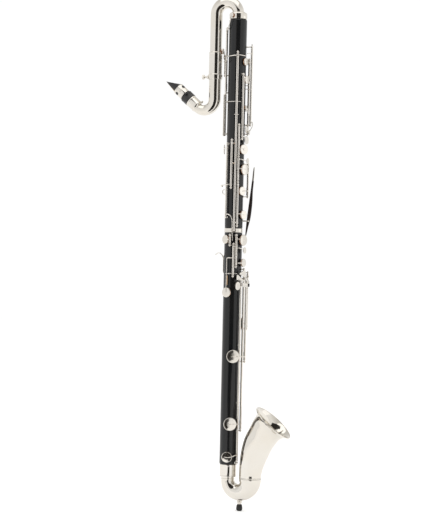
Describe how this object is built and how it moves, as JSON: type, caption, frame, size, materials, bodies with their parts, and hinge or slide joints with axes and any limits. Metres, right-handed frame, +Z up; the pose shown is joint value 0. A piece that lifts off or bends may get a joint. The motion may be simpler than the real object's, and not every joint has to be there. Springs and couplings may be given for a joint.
{
  "type": "contra-alto clarinet",
  "caption": "Straight low clarinet with black wooden joints, silver-plated hinged keywork, a folded neck with a tuning slide, an upturned metal bell and a rubber-tipped end pin.",
  "frame": {"origin": "foot of the end pin's rubber tip, on the floor under the elbow", "axes": "+Z up along the bore, +X forward towards the bell, -Y the player's right, where the long key rods run"},
  "size_m": [0.3757, 0.123, 1.4157],
  "materials": {
    "grenadilla": "oiled satin black wood with fine straight grain",
    "plated_silver": "polished silver plating, slightly warm",
    "ebonite": "polished black hard rubber",
    "cane": "bare cane with fine fibres",
    "rubber": "matt black rubber",
    "pad_leather": "brown leather key pads",
    "cork": "natural cork"
  },
  "bodies": {
    "instrument": {"back_guard": "plated_silver", "bell": "plated_silver", "centre_ring": "plated_silver", "cross_key_rod": "plated_silver", "elbow": "plated_silver", "end_pin": "plated_silver", "end_pin_tip": "rubber", "left_index_rod": "plated_silver", "left_little_pivot": "plated_silver", "left_stack_rod": "plated_silver", "low_first_rod": "plated_silver", "low_fourth_rod": "plated_silver", "low_second_rod": "plated_silver", "low_third_rod": "plated_silver", "lower_bridge_rod": "plated_silver", "lower_joint": "grenadilla", "neck_crown": "plated_silver", "neck_register_rod": "plated_silver", "register_lever_rod": "plated_silver", "right_stack_rod": "plated_silver", "side_bridge_rod": "plated_silver", "strap_ring": "plated_silver", "throat_rod": "plated_silver", "thumb_hook": "plated_silver", "thumb_rod": "plated_silver", "top_ring": "plated_silver", "transfer_rod": "plated_silver", "trill_rod": "plated_silver", "upper_joint": "grenadilla", "upper_register_rod": "plated_silver"},
    "neck_slide": {"neck_lower": "plated_silver", "mouthpiece": "ebonite", "ligature": "plated_silver", "reed": "cane"},
    "upper_register_key": {"upper_register_key": "plated_silver"},
    "neck_register_key": {"neck_register_key": "plated_silver"},
    "transfer_shaft": {"transfer_shaft": "plated_silver"},
    "register_lever": {"register_lever": "plated_silver"},
    "left_index_key": {"left_index_key": "plated_silver"},
    "throat_key": {"throat_key": "plated_silver"},
    "index_ring_key": {"index_ring_key": "plated_silver"},
    "side_bridge_key": {"side_bridge_key": "plated_silver"},
    "left_thumb_key": {"left_thumb_key": "plated_silver"},
    "left_middle_key": {"left_middle_key": "plated_silver"},
    "left_ring_key": {"left_ring_key": "plated_silver"},
    "upper_bridge_key": {"upper_bridge_key": "plated_silver"},
    "cross_key": {"cross_key": "plated_silver"},
    "trill_key": {"trill_key": "plated_silver"},
    "lower_bridge_key": {"lower_bridge_key": "plated_silver"},
    "right_index_key": {"right_index_key": "plated_silver"},
    "right_middle_key": {"right_middle_key": "plated_silver"},
    "right_ring_key": {"right_ring_key": "plated_silver"},
    "low_first_key": {"low_first_key": "plated_silver"},
    "low_second_key": {"low_second_key": "plated_silver"},
    "low_third_key": {"low_third_key": "plated_silver"},
    "low_fourth_key": {"low_fourth_key": "plated_silver"},
    "left_little_lever": {"left_little_lever": "ebonite"},
    "slide_lock_screw": {"slide_lock_screw": "plated_silver"},
    "ligature_screw_lower": {"ligature_screw_lower": "plated_silver"},
    "ligature_screw_upper": {"ligature_screw_upper": "plated_silver"}
  },
  "joints": [
    {"name": "tuning_slide", "type": "slide", "parent": "instrument", "child": "neck_slide", "axis": [0, 0, -1], "range_m": [0, 0.025]},
    {"name": "upper_register_turn", "type": "hinge", "parent": "instrument", "child": "upper_register_key", "pos_m": [-0.06398, -0.00776, 1.237], "axis": [0, 0, -1], "range_deg": [0, 9], "stiffness_Nm_per_rad": 0.2},
    {"name": "neck_register_turn", "type": "hinge", "parent": "instrument", "child": "neck_register_key", "pos_m": [-0.07266, 0.008, 1.222], "axis": [0, 0, 1], "range_deg": [0, 8], "stiffness_Nm_per_rad": 0.2},
    {"name": "transfer_shaft_turn", "type": "hinge", "parent": "instrument", "child": "transfer_shaft", "pos_m": [-0.02548, -0.02845, 1.015], "axis": [0, 0, -1], "range_deg": [0, 5], "stiffness_Nm_per_rad": 0.2},
    {"name": "register_lever_turn", "type": "hinge", "parent": "instrument", "child": "register_lever", "pos_m": [0.00461, 0.00557, 1.168], "axis": [0, 0, -1], "range_deg": [0, 6], "stiffness_Nm_per_rad": 0.2},
    {"name": "left_index_turn", "type": "hinge", "parent": "instrument", "child": "left_index_key", "pos_m": [-0.01117, -0.01822, 1.11], "axis": [0, 0, 1], "range_deg": [0, 9], "stiffness_Nm_per_rad": 0.2},
    {"name": "throat_turn", "type": "hinge", "parent": "instrument", "child": "throat_key", "pos_m": [-0.0044, 0.01236, 1.171], "axis": [0, 0, 1], "range_deg": [0, 9], "stiffness_Nm_per_rad": 0.2},
    {"name": "index_ring_turn", "type": "hinge", "parent": "instrument", "child": "index_ring_key", "pos_m": [-0.0044, 0.01236, 1.068], "axis": [0, 0, -1], "range_deg": [0, 7], "stiffness_Nm_per_rad": 0.2},
    {"name": "side_bridge_turn", "type": "hinge", "parent": "instrument", "child": "side_bridge_key", "pos_m": [-0.03605, -0.02998, 0.953], "axis": [0, 0, -1], "range_deg": [0, 3], "stiffness_Nm_per_rad": 0.2},
    {"name": "left_thumb_turn", "type": "hinge", "parent": "instrument", "child": "left_thumb_key", "pos_m": [-0.05045, -0.02572, 0.907], "axis": [0, 0, -1], "range_deg": [0, 4], "stiffness_Nm_per_rad": 0.2},
    {"name": "left_middle_turn", "type": "hinge", "parent": "instrument", "child": "left_middle_key", "pos_m": [-0.01822, -0.02487, 1.016], "axis": [0, 0, 1], "range_deg": [0, 9], "stiffness_Nm_per_rad": 0.2},
    {"name": "left_ring_turn", "type": "hinge", "parent": "instrument", "child": "left_ring_key", "pos_m": [-0.01822, -0.02487, 0.938], "axis": [0, 0, 1], "range_deg": [0, 9], "stiffness_Nm_per_rad": 0.2},
    {"name": "upper_bridge_turn", "type": "hinge", "parent": "instrument", "child": "upper_bridge_key", "pos_m": [-0.01822, -0.02487, 0.843], "axis": [0, 0, 1], "range_deg": [0, 9], "stiffness_Nm_per_rad": 0.2},
    {"name": "cross_turn", "type": "hinge", "parent": "instrument", "child": "cross_key", "pos_m": [-0.00296, 0.0185, 0.909], "axis": [0, 0, 1], "range_deg": [0, 9], "stiffness_Nm_per_rad": 0.2},
    {"name": "trill_turn", "type": "hinge", "parent": "instrument", "child": "trill_key", "pos_m": [-0.03552, -0.03, 0.743], "axis": [0, 0, 1], "range_deg": [0, 9], "stiffness_Nm_per_rad": 0.2},
    {"name": "lower_bridge_turn", "type": "hinge", "parent": "instrument", "child": "lower_bridge_key", "pos_m": [-0.02523, -0.02837, 0.689], "axis": [0, 0, 1], "range_deg": [0, 6], "stiffness_Nm_per_rad": 0.2},
    {"name": "right_index_turn", "type": "hinge", "parent": "instrument", "child": "right_index_key", "pos_m": [-0.01844, -0.02502, 0.741], "axis": [0, 0, 1], "range_deg": [0, 9], "stiffness_Nm_per_rad": 0.2},
    {"name": "right_middle_turn", "type": "hinge", "parent": "instrument", "child": "right_middle_key", "pos_m": [-0.01844, -0.02502, 0.716], "axis": [0, 0, 1], "range_deg": [0, 9], "stiffness_Nm_per_rad": 0.2},
    {"name": "right_ring_turn", "type": "hinge", "parent": "instrument", "child": "right_ring_key", "pos_m": [-0.01844, -0.02502, 0.689], "axis": [0, 0, 1], "range_deg": [0, 9], "stiffness_Nm_per_rad": 0.2},
    {"name": "low_first_turn", "type": "hinge", "parent": "instrument", "child": "low_first_key", "pos_m": [-0.00668, -0.01261, 0.384], "axis": [0, 0, -1], "range_deg": [0, 7], "stiffness_Nm_per_rad": 0.2},
    {"name": "low_second_turn", "type": "hinge", "parent": "instrument", "child": "low_second_key", "pos_m": [-0.0023, 0, 0.442], "axis": [0, 0, -1], "range_deg": [0, 6], "stiffness_Nm_per_rad": 0.2},
    {"name": "low_third_turn", "type": "hinge", "parent": "instrument", "child": "low_third_key", "pos_m": [0.00332, 0.00607, 0.524], "axis": [0, 0, -1], "range_deg": [0, 6], "stiffness_Nm_per_rad": 0.2},
    {"name": "low_fourth_turn", "type": "hinge", "parent": "instrument", "child": "low_fourth_key", "pos_m": [0.00394, 0.01573, 0.583], "axis": [0, 0, -1], "range_deg": [0, 8], "stiffness_Nm_per_rad": 0.2},
    {"name": "left_little_rock", "type": "hinge", "parent": "instrument", "child": "left_little_lever", "pos_m": [0.00381, 0.00968, 0.797], "axis": [0.2419, -0.9703, 0], "range_deg": [0, 2.5], "stiffness_Nm_per_rad": 0.3},
    {"name": "slide_lock_spin", "type": "hinge", "parent": "instrument", "child": "slide_lock_screw", "pos_m": [-0.1173, 0, 1.194], "axis": [-1, 0, 0], "continuous": true},
    {"name": "ligature_lower_spin", "type": "hinge", "parent": "neck_slide", "child": "ligature_screw_lower", "pos_m": [-0.18378, 0.01842, 1.15291], "axis": [-0.6227, 0.342, -0.7038], "continuous": true},
    {"name": "ligature_upper_spin", "type": "hinge", "parent": "neck_slide", "child": "ligature_screw_upper", "pos_m": [-0.19501, 0.01842, 1.16285], "axis": [-0.6227, 0.342, -0.7038], "continuous": true}
  ],
  "couplings": [
    {"joint": "neck_register_turn", "follows": "transfer_shaft_turn", "ratio": 1.6},
    {"joint": "upper_bridge_turn", "follows": "left_ring_turn", "ratio": 1},
    {"joint": "lower_bridge_turn", "follows": "left_thumb_turn", "ratio": 1.5}
  ]
}
